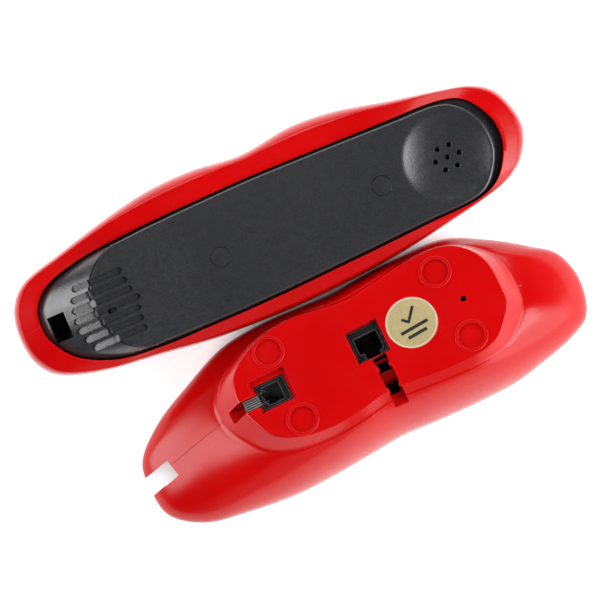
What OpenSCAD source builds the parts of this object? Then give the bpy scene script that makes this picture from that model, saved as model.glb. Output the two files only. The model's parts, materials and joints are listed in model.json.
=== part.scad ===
// Corded telephone in two lips-shaped pieces, lying upside down side by side.
// Millimetres. +X runs to the earpiece end, +Y to the front of the lips, +Z up from the floor.

/* [Base] */
// Length of the base from tip to tip
base_length = 193.2; // [185:0.1:201]
// Depth of the base from front to back
base_depth = 68.3; // [66:0.1:70]
// Height of the middle of the platform above the floor
platform_z = 41; // [40:0.5:43]
// Tilt of the platform to the mouth plane, degrees
platform_tilt = 17; // [15:0.5:18]
// Height of the pedestal wall at the two ends
pedestal_wall = 13; // [11:0.5:14]
// Wall thickness of the base shell
base_wall = 2.6; // [2.4:0.1:2.8]
// Width of the notch for the handset cord
notch_width = 7.5; // [6.5:0.1:8]
// Width of the two cord channels
channel_width = 6; // [5:0.1:6.2]
// Depth of the cord channels below the platform
channel_depth = 7; // [6:0.1:7.4]
// Outer radius of the foot rings
foot_radius = 6.6; // [6:0.1:7]
// Radius of the ringer's sound hole
sound_hole_radius = 1.3; // [1:0.1:2]
// Depth of the keypad cover below the mouth rim
cover_depth = 9; // [8.6:0.1:9.4]

/* [Keys] */
// Size of a key along X
key_x = 10; // [8:0.1:10.5]
// Size of a key along Y
key_y = 7.5; // [6:0.1:7.8]
// Spacing of the key columns
key_pitch_x = 13.5; // [12.5:0.1:14]
// Spacing of the key rows
key_pitch_y = 10.5; // [9.8:0.1:10.6]
// Travel of a key
key_travel = 1; // [0.6:0.1:1]

/* [Handset] */
// Length of the handset from tip to tip
handset_length = 218.9; // [214:0.1:222]
// Depth of the handset from front to back
handset_depth = 67.5; // [66.5:0.1:67.5]
// Height of the red rim above the floor
rim_z = 34; // [33:0.5:35]
// Wall thickness of the handset shell
handset_wall = 2.6; // [2.4:0.1:2.8]
// Rise of the black cover's pad above the rim
pad_rise = 2; // [1.5:0.1:2.5]
// Further rise of the pad at the microphone ridge
ridge_rise = 6; // [4:0.1:7]
// Radius of the ear dish
dish_radius = 18.2; // [17:0.1:18.4]
// Depth of the ear dish
dish_depth = 3.5; // [2.5:0.1:3.6]
// Radius of the ear dish's sound holes
ear_hole_radius = 1; // [0.8:0.1:1.2]
// Radius of the screw-hole plugs
plug_radius = 4; // [3.6:0.1:4.2]
// Spacing of the microphone grille's grooves
groove_pitch = 4.1; // [4:0.05:4.2]
// Width of a groove
groove_width = 2.7; // [2.3:0.1:2.8]

/* [Hidden] */
round_fn = 48;
gap = 0.3;
// Layout of the two pieces on the floor
base_at = [7.2, -40.2, 0];
handset_from_base = [-7.4, 73.8, 0];
handset_turn = -3.1;
// Stretch factors from the nominal size that the outlines are drawn at
base_stretch = [base_length / 193.2, base_depth / 68.3];
handset_stretch = [handset_length / 218.9, handset_depth / 67.5];
platform_y = 14.6;
platform_wall = 3;
foot_share = 0.25;
back_wall = 2.5;
slope_share = 0.4;
widest_mid_z = 13;
widest_tip_z = 9;
rim_tuck = 3;
steps = 3;

// Outlines, from the right tip to the left tip. Each row is x, y of the front, y of the back.
base_edge = [
  [96.4, 0.5, 0.5], [93, 13.3, -13.2], [84, 21.1, -19], [70, 30.9, -22.9], [53, 39.3, -26],
  [33, 40.6, -26.3], [18, 40.2, -25.8], [4, 39.2, -25.1], [-10, 39.8, -26.2], [-28, 40.6, -27.5],
  [-46, 38.8, -27.7], [-65, 31.2, -25.5], [-82, 22.8, -22.1], [-94.5, 12, -13], [-96.8, 0, 0]
];
platform_edge = [
  [64.6, 14.5, 14.5], [64, 23.5, 6.5], [60.5, 30.3, 0.8], [54, 35.6, -5.2], [45, 37.6, -7.3],
  [31, 37.1, -7.1], [18, 35, -5.8], [6, 34.1, -5.1], [-6, 36, -7.1], [-18.5, 37.3, -8],
  [-31, 35.3, -6.3], [-41, 30.6, -1.3], [-46, 25.8, 7.4], [-47.9, 20.5, 13.5], [-48, 17, 17]
];
handset_edge = [
  [109.6, 0, 0], [105.5, 14.2, -11.5], [97, 20.9, -18.8], [84, 24.3, -22.9], [64, 28.2, -26.9],
  [42, 32.9, -30.3], [23, 34.1, -32.1], [1, 31.3, -33.3], [-21, 33.3, -33.2], [-41, 32.4, -32.3],
  [-61, 28.4, -29.8], [-82, 22.9, -27.4], [-99, 17.9, -22.6], [-107, 9.3, -14.5], [-109.3, -3, -3]
];
opening_edge = [
  [99.4, -0.5, -0.5], [97.6, 7.8, -8.5], [91, 16.8, -18], [80, 20.2, -22.4], [60, 20.7, -23.3],
  [40, 21, -24.5], [22, 21.3, -25.4], [0, 21.5, -26.5], [-20, 21, -27.1], [-38, 20.5, -27.2],
  [-56, 19.4, -27.2], [-75, 17.3, -25.2], [-90, 13.2, -18.3], [-97.3, 6.3, -8.8], [-98.9, -1.5, -1.5]
];
pad_edge = [
  [95.2, -1.2, -1.2], [93.6, 7.2, -9.2], [87.5, 15.4, -18], [79, 19, -21.4], [60, 19.4, -22.3],
  [40, 19.9, -23.4], [22, 20.2, -24.3], [0, 20.4, -25.4], [-20, 19.9, -26], [-36, 19.3, -26.1],
  [-50, 18.5, -26], [-63, 16.6, -24.9], [-71, 10.6, -19.2], [-75, 3.5, -9], [-75.6, -2.8, -2.8]
];

// Handset features, in the handset's own frame
flange_z = rim_z - 3;
cover_low_z = rim_z - 5;
pad_z = rim_z + pad_rise;
cover_skin = 2.2;
ridge_start = -34;
ridge_end = -75.6;
widest_z = 19;
rim_drop = 2;
rim_band = 7.5;
ear_at = [76.3, -2];
ear_boss_z = pad_z - dish_depth - 2.6;
ear_ball = (dish_radius * dish_radius + dish_depth * dish_depth) / (2 * dish_depth);
ear_hole_circle = 5.1;
mic_at = [-69.9, -6.4];
screw_spots = [[-22.1, -3.6], [47.8, -2.4]];
boss_top = 24;
socket_low = [-95.6, -10];
socket_size = [7.3, 10.8];
groove_centre_y = -5.15;
grooves = 7;
groove_depth = 0.9;
ridge_bend = 0.55;

// Base features, as x and y seen square to the mouth plane
foot_spots = [[-29.3, 29.3], [-28.5, -0.4], [44.2, 28.8], [45.8, 0]];
left_jack = [-34.5, 14.4];
left_jack_size = [12, 10.2];
left_recess = [15.6, 14.4];
line_jack_at = [7.85, 16];
line_jack_size = [12.6, 12.6];
line_recess = [14.2, 14.6];
recess_depth = 1.6;
jack_height = 11;
jack_floor = 1.4;
board_depth = 13.6;
board_size = [80, 28, 1.6];
board_at = [-5, -0.5];
sticker_at = [26.9, 14.9];
sticker_radius = 10.5;
ringer_at = [49.4, 14.5];
notch_at = [-84.3, 4];
notch_turn = 13.5;
line_channel_x = 9.4;
left_channel_y = 13.8;
trough_wall = 1.8;

// Keypad features, in the base's own frame
cover_thick = 2.2;
cover_top = cover_depth + cover_thick;
keypad_at = [0, 7];
key_low = 4.6;
flange_rest = cover_top + gap;
flange_top = flange_rest + 1;
mat_low = flange_top + key_travel + gap;
mat_top = mat_low + 1.3;
function_x = 29;
plunger_at = [50, 5];
plunger_travel = 3;
plunger_low = 1.4;
bracket_low = 20.6;
bracket_top = 22;
switch_low = bracket_top + plunger_travel + 2;
post_spots = [[-60, 6], [73, 6], [44, 28.5], [-34, 28.5]];
post_tops = [27.2, 28.2, 34.6, 34.6];
post_radius = 3.2;
screw_radius = 1.4;
plunger_size = [8, 14];
plunger_stem = 2;
bracket_size = [14, 24];
keypad_size = [56, 46];
keypad_shift = 8;
board_screw_x = [-42, 32];
board_screw_y = [-11.5, 10.5];
foot_ring_wall = 1.1;
socket_low_z = jack_height + 0.6;

function mix(a, b, t) = a + (b - a) * t;
function clamp01(t) = min(1, max(0, t));
function ease(t) = (1 - cos(180 * clamp01(t))) / 2;
function unit(v) = v / max(norm(v), 0.0001);
function curve_at(a, b, c, d, t) =
  0.5 * (2 * b + (c - a) * t + (2 * a - 5 * b + 4 * c - d) * t * t + (3 * b - a - 3 * c + d) * t * t * t);

// A closed smooth loop, counter-clockwise from the right tip
function corners(rows, stretch) = let(last = len(rows) - 1) [
  for (i = [0 : last]) [rows[i][0] * stretch[0], rows[i][1] * stretch[1]],
  for (i = [last - 1 : -1 : 1]) [rows[i][0] * stretch[0], rows[i][2] * stretch[1]]
];
function loop(rows, stretch) = let(p = corners(rows, stretch), n = len(p)) [
  for (i = [0 : n - 1], j = [0 : steps - 1])
    curve_at(p[(i + n - 1) % n], p[i], p[(i + 1) % n], p[(i + 2) % n], j / steps)
];
function inset(ring, d) = let(n = len(ring)) [
  for (i = [0 : n - 1])
    let(t = ring[(i + 1) % n] - ring[(i + n - 1) % n])
    ring[i] + d * unit([-t[1], t[0]])
];
function lift(ring, z) = [for (p = ring) [p[0], p[1], z]];

// A closed solid through stacked loops, the first one facing up and the last one facing down
module ring_solid(rings, first, last) {
  n = len(rings[0]);
  k = len(rings);
  sides = [
    for (i = [0 : k - 2], j = [0 : n - 1])
      let(a = i * n + j, b = i * n + (j + 1) % n)
      each [[a, b, b + n], [a, b + n, a + n]]
  ];
  polyhedron([for (r = rings) each r], concat(sides, first, last), convexity = 8);
}
// Flat ends, and ends made of strips from the front to the back for a curved face
function flat_up(n) = [[for (j = [n - 1 : -1 : 0]) j]];
function flat_down(n, k) = [[for (j = [0 : n - 1]) (k - 1) * n + j]];
function strip_up(n) = [
  for (i = [0 : n / 2 - 1])
    each concat(i + 1 < n - 1 - i ? [[n - 1 - i, i + 1, i]] : [], i > 0 ? [[n - i, n - 1 - i, i]] : [])
];
function strip_down(n, k) = [for (f = strip_up(n)) [for (m = [2 : -1 : 0]) (k - 1) * n + f[m]]];

// The base's surface: s from 0 at the platform, 1 at the pedestal's foot, 2 at the widest line, 3 at the floor
base_loop = loop(base_edge, base_stretch);
platform_loop = loop(platform_edge, base_stretch);
function platform_at(y, drop) =
  platform_z - (y - platform_y) * tan(platform_tilt) - drop / cos(platform_tilt);
function base_point(p, b, q, drop, s) =
  let(
    d = b - p,
    end_share = pow(abs(d[0]) / max(norm(d), 0.01), 2),
    top = platform_at(p[1], drop),
    foot = top - mix(back_wall, pedestal_wall, end_share),
    wide = mix(widest_mid_z, widest_tip_z, pow(2 * abs(b[0]) / base_length, 4)),
    t = s - floor(min(s, 2)),
    m = s < 1 ? foot_share * s : mix(foot_share, 1, sin(90 * t)),
    side = s < 2 ? mix(p, b, m) : mix(b, q, 1 - cos(90 * t)),
    z = s < 1 ? mix(top, foot, ease(s))
      : s < 2 ? mix(foot, wide, mix(1 - cos(90 * t), sin(90 * t), slope_share))
      : wide * (1 - sin(90 * t))
  ) [side[0], side[1], z];
function base_ring(p, b, drop, s) = let(q = inset(b, rim_tuck)) [
  for (i = [0 : len(p) - 1]) base_point(p[i], b[i], q[i], drop, s)
];

// The handset's surface: s from 0 at the opening, 1 at the crease, 2 at the widest line, 3 at the crown
handset_loop = loop(handset_edge, handset_stretch);
opening_loop = loop(opening_edge, handset_stretch);
pad_loop = loop(pad_edge, handset_stretch);
crown_loop = [for (p = opening_loop) [p[0] * 0.8, (p[1] + 3) * 0.4 - 1]];
function handset_point(o, b, m, top, low, s) =
  let(
    t = s - floor(min(s, 2)),
    c = o + unit(b - o) * min(rim_band, 0.72 * norm(b - o)),
    side = s < 1 ? mix(o, c, s) : s < 2 ? mix(c, b, sin(90 * t)) : mix(m, b, pow(cos(90 * t), 0.85)),
    z = s < 1 ? top - rim_drop * s
      : s < 2 ? mix(widest_z, top - rim_drop, cos(90 * t))
      : mix(widest_z, low, pow(sin(90 * t), 0.85))
  ) [side[0], side[1], z];
function handset_ring(o, b, top, low, s) = [
  for (i = [0 : len(o) - 1]) handset_point(o[i], b[i], crown_loop[i], top, low, s)
];

// The height of the black pad, which rises to the microphone ridge
function pad_height(x) = pad_z + ridge_rise * clamp01((ridge_start - x) / (ridge_start - ridge_end));
ridge_slope = atan(ridge_rise / (ridge_start - ridge_end));
fall_slope = atan((pad_z + ridge_rise - flange_z) / 23);

module in_base() {
  translate(base_at) children();
}
module in_handset() {
  translate(base_at + handset_from_base) rotate([0, 0, handset_turn]) children();
}
// Moves children to a spot on the tilted platform, with +Z along its outward normal
module on_platform(spot) {
  in_base()
    translate([0, platform_y, platform_z])
      rotate([-platform_tilt, 0, 0])
        translate([spot[0], (spot[1] - platform_y) / cos(platform_tilt), 0])
          children();
}
module block(size, low) {
  translate([-size[0] / 2, -size[1] / 2, low]) cube(size);
}
module rod(radius, low, high) {
  translate([0, 0, low]) cylinder(r = radius, h = high - low, $fn = round_fn);
}
module tube(outer, inner, low, high) {
  difference() {
    rod(outer, low, high);
    rod(inner, low - 1, high + 1);
  }
}

module base_body() {
  inner_platform = inset(platform_loop, base_wall);
  inner_base = inset(base_loop, base_wall);
  outer = [for (s = [0, 0.2, 0.4, 0.6, 0.8, 1, 1.25, 1.45, 1.63, 1.78, 1.9, 2, 2.35, 2.7, 3])
    base_ring(platform_loop, base_loop, 0, s)];
  inner = [for (s = [3, 2.4, 2, 1.7, 1.35, 1, 0.6, 0.3, 0])
    base_ring(inner_platform, inner_base, platform_wall, s)];
  rings = concat(outer, inner);
  ring_solid(rings, flat_up(len(base_loop)), flat_down(len(base_loop), len(rings)));
}

module base_shell() {
  trough = channel_width + 2 * trough_wall;
  trough_low = -channel_depth - trough_wall;
  color([0.82, 0.02, 0.03])
  difference() {
    union() {
      in_base() base_body();
      for (spot = foot_spots)
        on_platform(spot) tube(foot_radius, foot_radius - foot_ring_wall, -1, 0.5);
      on_platform([line_channel_x, 0.6]) block([trough, 17.5, trough_wall + 0.2], trough_low);
      on_platform([-47.2, left_channel_y]) block([10.6, trough, trough_wall + 0.2], trough_low);
      for (i = [0 : len(post_spots) - 1])
        in_base() translate(post_spots[i]) rod(post_radius, cover_top, post_tops[i]);
    }
    for (spot = foot_spots)
      on_platform(spot) rod(foot_radius - foot_ring_wall, -0.6, 1);
    on_platform(left_jack + [0.15, 0.6]) block([left_recess[0], left_recess[1], 9], -recess_depth);
    on_platform(left_jack) block([left_jack_size[0] + 1, left_jack_size[1] + 1, 12], -10);
    on_platform(line_jack_at) block([line_recess[0], line_recess[1], 9], -recess_depth);
    on_platform(line_jack_at) block([line_jack_size[0] + 1, line_jack_size[1] + 1, 12], -10);
    on_platform([line_channel_x, -1.5]) block([channel_width, 23, 30], -channel_depth);
    on_platform([-53, left_channel_y]) block([24, channel_width - 0.6, 30], -channel_depth);
    on_platform(ringer_at) rod(sound_hole_radius, -9, 9);
    in_base()
      translate([notch_at[0], notch_at[1], -1])
        rotate([0, 0, notch_turn])
          translate([-30, -notch_width / 2, 0])
            cube([30, notch_width, 60]);
    for (spot = post_spots)
      in_base() translate(spot) rod(screw_radius + 0.05, 1, cover_top + 9);
  }
}

module base_keypad_cover() {
  edge = inset(base_loop, base_wall + 1.4);
  rings = [lift(edge, cover_top), lift(edge, cover_depth)];
  color([0.80, 0.02, 0.03])
  in_base()
  difference() {
    ring_solid(rings, flat_up(len(edge)), flat_down(len(edge), 2));
    for (spot = key_spots())
      translate(spot) block([key_x + 2 * gap, key_y + 2 * gap, 20], 0);
    translate(plunger_at) block([plunger_size[0] + 2 * gap, plunger_size[1] + 2 * gap, 20], 0);
    for (spot = post_spots) {
      translate(spot) rod(screw_radius + 0.2, 0, 20);
      translate(spot) rod(2.9, 0, cover_depth + 1);
    }
    translate([notch_at[0] + 2, notch_at[1], 0])
      rotate([0, 0, notch_turn])
        translate([-30, -notch_width / 2 - 0.5, 0])
          cube([30, notch_width + 1, 60]);
  }
}

module base_cover_screws() {
  color([0.72, 0.72, 0.74])
  in_base()
  for (spot = post_spots)
    translate(spot)
      difference() {
        union() {
          rod(2.7, cover_depth - 1, cover_depth + 1);
          rod(screw_radius, cover_depth, cover_top + 8);
        }
        block([0.7, 3.2, 1.4], cover_depth - 1.4);
        block([3.2, 0.7, 1.4], cover_depth - 1.4);
      }
}

module base_weight() {
  color([0.45, 0.46, 0.48])
  in_base() translate([81.2, 2]) block([9, 14, 4.5], cover_top);
}

module main_circuit_board() {
  color([0.10, 0.34, 0.16])
  on_platform([0, platform_y])
  difference() {
    translate(board_at) block(board_size, -board_depth - board_size[2]);
    for (x = board_screw_x, y = board_screw_y)
      translate([x, y]) rod(screw_radius + 0.1, -30, 0);
  }
}

module circuit_components() {
  color([0.14, 0.14, 0.15])
  on_platform([0, platform_y]) {
    translate([-8, -2]) block([14, 7, 3], -board_depth);
    translate([-12, -10]) rod(3, -board_depth, -board_depth + 7.5);
    translate([-20, -10]) rod(2.5, -board_depth, -board_depth + 6.5);
    translate([24, 8]) block([7, 6, 4], -board_depth);
    translate([24, -8]) rod(4, -board_depth, -board_depth + 6);
    translate([-8, 9]) block([10, 4, 2], -board_depth);
  }
}

module board_screws() {
  color([0.72, 0.72, 0.74])
  on_platform([0, platform_y])
  for (x = board_screw_x, y = board_screw_y)
    translate([x, y]) {
      rod(2.4, -board_depth - board_size[2] - 1.6, -board_depth - board_size[2]);
      rod(screw_radius, -board_depth - board_size[2] - 0.8, -board_depth + 3);
    }
}

// A modular jack: a box with a stepped socket, open at the top
module jack_body(size, height, socket, latch) {
  difference() {
    block([size[0], size[1], height], -height);
    block([socket[0], socket[1], height], -height + jack_floor);
    translate([latch[0], latch[1]]) block([latch[2], latch[3], height], -height + jack_floor);
  }
}
module jack_contacts(count, span, low) {
  for (i = [0 : count - 1])
    translate([(i - (count - 1) / 2) * 1.02, 0]) {
      translate([0, span, 0]) block([0.45, 0.5, 7.4], low);
      translate([0, span - 1.2 * sign(span), 0]) block([0.45, 2.4, 0.5], low);
    }
}

module handset_cord_jack() {
  color([0.06, 0.06, 0.06])
  on_platform(left_jack)
    translate([0, 0, socket_low_z - board_depth])
      jack_body(left_jack_size, socket_low_z, [7, 7.8], [-3.6, 0, 2.4, 4]);
}
module handset_cord_jack_contacts() {
  color([0.83, 0.68, 0.30])
  on_platform(left_jack)
    rotate([0, 0, -90])
      jack_contacts(4, 3.1, -board_depth + jack_floor);
}
module line_jack() {
  color([0.06, 0.06, 0.06])
  on_platform(line_jack_at)
    translate([0, 0, socket_low_z - board_depth])
      jack_body(line_jack_size, socket_low_z, [9.8, 7], [0, -4.2, 6.2, 2.4]);
}
module line_jack_contacts() {
  color([0.83, 0.68, 0.30])
  on_platform(line_jack_at) jack_contacts(4, 3.1, -board_depth + jack_floor);
}

module inspection_sticker() {
  color([0.84, 0.78, 0.50])
  on_platform(sticker_at) rod(sticker_radius, 0, 0.15);
}

module ringer_holder() {
  color([0.88, 0.88, 0.86])
  on_platform(ringer_at) tube(11.5, 10.2, -7.4, -platform_wall);
}
module ringer_disc() {
  color([0.80, 0.66, 0.32])
  on_platform(ringer_at) rod(10, -6.6, -6.1);
}

function key_spots() = [
  for (row = [0 : 3], col = [-1 : 1])
    [keypad_at[0] + col * key_pitch_x, keypad_at[1] + (row - 1.5) * key_pitch_y, 0],
  [function_x, keypad_at[1] - key_pitch_y / 2, 0],
  [function_x, keypad_at[1] + key_pitch_y / 2, 0]
];
module key(i) {
  color([0.95, 0.94, 0.92])
  in_base()
  translate(key_spots()[i]) {
    block([key_x, key_y, flange_rest + 0.5 - key_low], key_low);
    block([key_x + 2.2, key_y + 2, flange_top - flange_rest], flange_rest);
  }
}

module keypad_mat() {
  color([0.85, 0.86, 0.84])
  in_base() {
    translate(keypad_at + [keypad_shift, 0]) block([keypad_size[0], keypad_size[1], 0.8], mat_top - 0.8);
    for (spot = key_spots())
      translate(spot) rod(3, mat_low, mat_top - 0.4);
  }
}
module keypad_board() {
  color([0.55, 0.36, 0.14])
  in_base() translate(keypad_at + [keypad_shift, 0]) block([keypad_size[0], keypad_size[1], 1.3], mat_top);
}

module hook_plunger() {
  color([0.95, 0.94, 0.92])
  in_base()
  translate(plunger_at) {
    block([plunger_size[0], plunger_size[1], flange_rest + 0.5 - plunger_low], plunger_low);
    block([plunger_size[0] + 2, plunger_size[1] + 2.4, flange_top - flange_rest], flange_rest);
    rod(plunger_stem, flange_rest, bracket_top + 1);
  }
}
module hook_spring() {
  turns = 5;
  per_turn = 14;
  sides = 6;
  n = turns * per_turn;
  wire = 0.35;
  low = flange_top + 0.45;
  high = bracket_low - 0.45;
  points = [
    for (i = [0 : n], j = [0 : sides - 1])
      let(a = 360 * i / per_turn, r = 3 + wire * cos(360 * j / sides))
      [r * cos(a), r * sin(a), mix(low, high, i / n) + wire * sin(360 * j / sides)]
  ];
  walls = [
    for (i = [0 : n - 1], j = [0 : sides - 1])
      let(a = i * sides + j, b = i * sides + (j + 1) % sides)
      each [[a, b, b + sides], [a, b + sides, a + sides]]
  ];
  ends = [[for (j = [sides - 1 : -1 : 0]) j], [for (j = [0 : sides - 1]) n * sides + j]];
  color([0.70, 0.71, 0.73])
  in_base() translate(plunger_at) polyhedron(points, concat(walls, ends), convexity = 10);
}
module hook_bracket() {
  color([0.90, 0.90, 0.88])
  in_base()
  translate(plunger_at)
  difference() {
    union() {
      block([bracket_size[0], bracket_size[1], bracket_top - bracket_low], bracket_low);
      for (side = [-1, 1])
        translate([0, side * 10.8]) block([8, 2.4, switch_low - cover_top], cover_top);
    }
    rod(plunger_stem + 0.06, 0, 40);
  }
}
module hook_switch() {
  color([0.10, 0.10, 0.11])
  in_base() translate(plunger_at) block([plunger_size[0], bracket_size[1], 6], switch_low);
}

module handset_shell() {
  inner_edge = inset(handset_loop, handset_wall);
  inner = [for (s = [3, 2.75, 2.5, 2.25, 2, 1.5, 1, 0])
    handset_ring(opening_loop, inner_edge, rim_z - handset_wall, handset_wall, s)];
  outer = [for (s = [0, 0.5, 1, 1.25, 1.5, 1.75, 2, 2.15, 2.3, 2.5, 2.7, 2.85, 3])
    handset_ring(opening_loop, handset_loop, rim_z, 0, s)];
  rings = concat(inner, outer);
  n = len(handset_loop);
  color([0.82, 0.02, 0.03])
  in_handset()
  difference() {
    union() {
      ring_solid(rings, flat_up(n), flat_down(n, len(rings)));
      for (spot = screw_spots)
        translate(spot) rod(3.6, 1.2, boss_top);
    }
    for (spot = screw_spots)
      translate(spot) rod(screw_radius + 0.05, boss_top - 12, boss_top + 1);
  }
}

module cover_body() {
  outer = inset(opening_loop, 0.35);
  n = len(outer);
  // 1 on the slope beyond the microphone ridge, 0 along the rest of the pad
  slope = [for (p = pad_loop) ease((-52 - p[0]) / 10)];
  top_a = [for (p = inset(pad_loop, 0.7)) [p[0], p[1], pad_height(p[0])]];
  top_b = [for (p = pad_loop) [p[0], p[1], pad_height(p[0]) - 0.5]];
  mid = [for (i = [0 : n - 1])
    let(
      p = pad_loop[i],
      o = outer[i],
      near = p + unit(o - p) * min(1, norm(o - p) / 2),
      slope_z = (pad_height(p[0]) + flange_z) / 2 + 0.25
    )
    concat(mix(near, (p + o) / 2, slope[i]), [mix(flange_z, slope_z, slope[i])])];
  under = inset(pad_loop, cover_skin);
  taper = inset(outer, 1.5);
  skirt = inset(outer, 2.6);
  bottom = [for (i = [0 : n - 1]) concat(mix(under[i], skirt[i], slope[i]), [cover_low_z])];
  under_mid = [for (i = [0 : n - 1])
    let(slope_z = (pad_height(under[i][0]) + flange_z) / 2 - cover_skin)
    concat(mix(under[i], outer[i], slope[i] / 2), [mix(cover_low_z + 1, slope_z, slope[i])])];
  ceiling = [for (p = inset(pad_loop, cover_skin + 0.2)) [p[0], p[1], pad_height(p[0]) - cover_skin]];
  rings = [
    top_a, top_b, mid, lift(outer, flange_z), lift(taper, cover_low_z), bottom, under_mid, ceiling
  ];
  ring_solid(rings, strip_up(n), strip_down(n, len(rings)));
}

module handset_inner_cover() {
  color([0.16, 0.16, 0.17])
  in_handset()
  difference() {
    union() {
      cover_body();
      translate(ear_at) rod(dish_radius + 0.2, ear_boss_z, pad_z - 0.6);
      for (spot = screw_spots)
        translate(spot) rod(plug_radius + 1.3, boss_top, pad_z - 0.6);
    }
    translate([ear_at[0], ear_at[1], pad_z - dish_depth + ear_ball]) sphere(r = ear_ball, $fn = round_fn);
    translate(ear_at) rod(ear_hole_radius, 0, 60);
    for (i = [0 : 5])
      translate(ear_at) rotate([0, 0, 60 * i]) translate([ear_hole_circle, 0]) rod(ear_hole_radius, 0, 60);
    for (spot = screw_spots) {
      translate(spot) rod(plug_radius + 0.05, boss_top + 1.6, 60);
      translate(spot) rod(screw_radius + 0.2, 0, 60);
    }
    translate([mic_at[0], mic_at[1]]) block([3.3, 2, 60], 20);
    translate([socket_low[0], socket_low[1], 20]) cube([socket_size[0], socket_size[1], 30]);
    for (i = [0 : grooves - 1])
      grille_groove(i - (grooves - 1) / 2);
  }
}
// One groove of the grille, in two straight runs that meet at the ridge
module grille_groove(k) {
  bulge = sqrt(max(0, 1 - pow(k / 4.6, 2)));
  ridge_x = ridge_end + 0.8 + ridge_bend * k * k;
  ridge_top = pad_height(ridge_x);
  translate([ridge_x, groove_centre_y + k * groove_pitch - groove_width / 2, ridge_top]) {
    rotate([0, ridge_slope, 0])
      translate([-0.6, 0, -groove_depth])
        cube([4.6 + 12 * bulge - ridge_bend * k * k, groove_width, 4]);
    rotate([0, 180 - fall_slope, 0])
      translate([0, 0, groove_depth - 4])
        cube([2 + 8 * bulge, groove_width, 4]);
  }
}

module handset_screws() {
  color([0.72, 0.72, 0.74])
  in_handset()
  for (spot = screw_spots)
    translate(spot) {
      rod(2.9, boss_top + 1.6, boss_top + 3.6);
      rod(screw_radius, boss_top - 10, boss_top + 2);
    }
}
module handset_screw_plugs() {
  color([0.19, 0.19, 0.20])
  in_handset()
  for (spot = screw_spots)
    translate(spot) rod(plug_radius, pad_z - 3, pad_z - 0.15);
}
module earpiece_receiver() {
  color([0.20, 0.20, 0.21])
  in_handset()
  translate(ear_at) {
    rod(15, ear_boss_z - 7.5, ear_boss_z - 1.6);
    rod(9, ear_boss_z - 10.5, ear_boss_z - 7);
  }
}
module earpiece_gasket() {
  color([0.10, 0.10, 0.10])
  in_handset() translate(ear_at) tube(15, 11, ear_boss_z - 1.6, ear_boss_z);
}
module microphone_capsule() {
  color([0.75, 0.75, 0.76])
  in_handset() translate(mic_at) rod(4.8, flange_z - 2, flange_z + 3.5);
}
module microphone_boot() {
  color([0.10, 0.10, 0.10])
  in_handset()
  translate(mic_at)
  difference() {
    rod(6.3, flange_z - 2, flange_z + 4.6);
    rod(4.85, flange_z - 3, flange_z + 3.5);
    rod(1.1, flange_z, flange_z + 6);
  }
}
module handset_jack() {
  color([0.05, 0.05, 0.05])
  in_handset()
  translate([socket_low[0] + socket_size[0] / 2, socket_low[1] + socket_size[1] / 2, cover_low_z - 1])
    jack_body(socket_size + [1.8, 1.8], 12, [socket_size[0] - 0.6, 7.8], [0, 4.4, 3.4, 1.6]);
}
module handset_jack_contacts() {
  color([0.83, 0.68, 0.30])
  in_handset()
  translate([socket_low[0] + socket_size[0] / 2, socket_low[1] + socket_size[1] / 2, cover_low_z - 13])
    jack_contacts(4, -3.4, 1 + jack_floor);
}
module handset_weight() {
  color([0.45, 0.46, 0.48])
  in_handset() translate([13, -1]) block([46, 14, 8], handset_wall);
}

base_shell();
base_keypad_cover();
base_cover_screws();
base_weight();
main_circuit_board();
circuit_components();
board_screws();
handset_cord_jack();
handset_cord_jack_contacts();
line_jack();
line_jack_contacts();
inspection_sticker();
ringer_holder();
ringer_disc();
keypad_mat();
keypad_board();
hook_plunger();
hook_spring();
hook_bracket();
hook_switch();
key(0);  // key_1
key(1);  // key_2
key(2);  // key_3
key(3);  // key_4
key(4);  // key_5
key(5);  // key_6
key(6);  // key_7
key(7);  // key_8
key(8);  // key_9
key(9);  // key_star
key(10);  // key_0
key(11);  // key_hash
key(12);  // key_redial
key(13);  // key_flash
handset_shell();
handset_inner_cover();
handset_screws();
handset_screw_plugs();
earpiece_receiver();
earpiece_gasket();
microphone_capsule();
microphone_boot();
handset_jack();
handset_jack_contacts();
handset_weight();
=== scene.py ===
"""A lips-shaped corded telephone: handset and base side by side with their undersides up."""

import json
import math

import bmesh
import bpy
import numpy as np
from mathutils import Matrix, Vector
from mathutils.bvhtree import BVHTree


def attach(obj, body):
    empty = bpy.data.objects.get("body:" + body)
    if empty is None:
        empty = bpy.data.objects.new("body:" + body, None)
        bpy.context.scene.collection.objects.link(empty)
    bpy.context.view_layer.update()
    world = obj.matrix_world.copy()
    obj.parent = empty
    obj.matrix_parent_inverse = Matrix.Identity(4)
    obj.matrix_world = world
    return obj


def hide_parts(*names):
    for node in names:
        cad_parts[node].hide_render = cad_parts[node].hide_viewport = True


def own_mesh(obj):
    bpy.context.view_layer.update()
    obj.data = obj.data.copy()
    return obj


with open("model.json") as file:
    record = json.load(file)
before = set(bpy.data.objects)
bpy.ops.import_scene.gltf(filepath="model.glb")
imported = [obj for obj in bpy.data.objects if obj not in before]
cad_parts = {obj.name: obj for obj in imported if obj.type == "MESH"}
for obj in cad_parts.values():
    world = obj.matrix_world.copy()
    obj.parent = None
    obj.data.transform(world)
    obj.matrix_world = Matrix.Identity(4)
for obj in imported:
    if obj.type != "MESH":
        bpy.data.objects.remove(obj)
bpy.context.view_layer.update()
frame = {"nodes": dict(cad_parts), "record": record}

MM = 0.001

# ---- sizes, in millimetres
# Where the two halves lie on the floor
BASE_AT = (7.2, -40.2, 0.0)
HANDSET_AT = (BASE_AT[0] - 7.4, BASE_AT[1] + 73.8, 0.0)
HANDSET_TURN = math.radians(-3.1)

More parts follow.
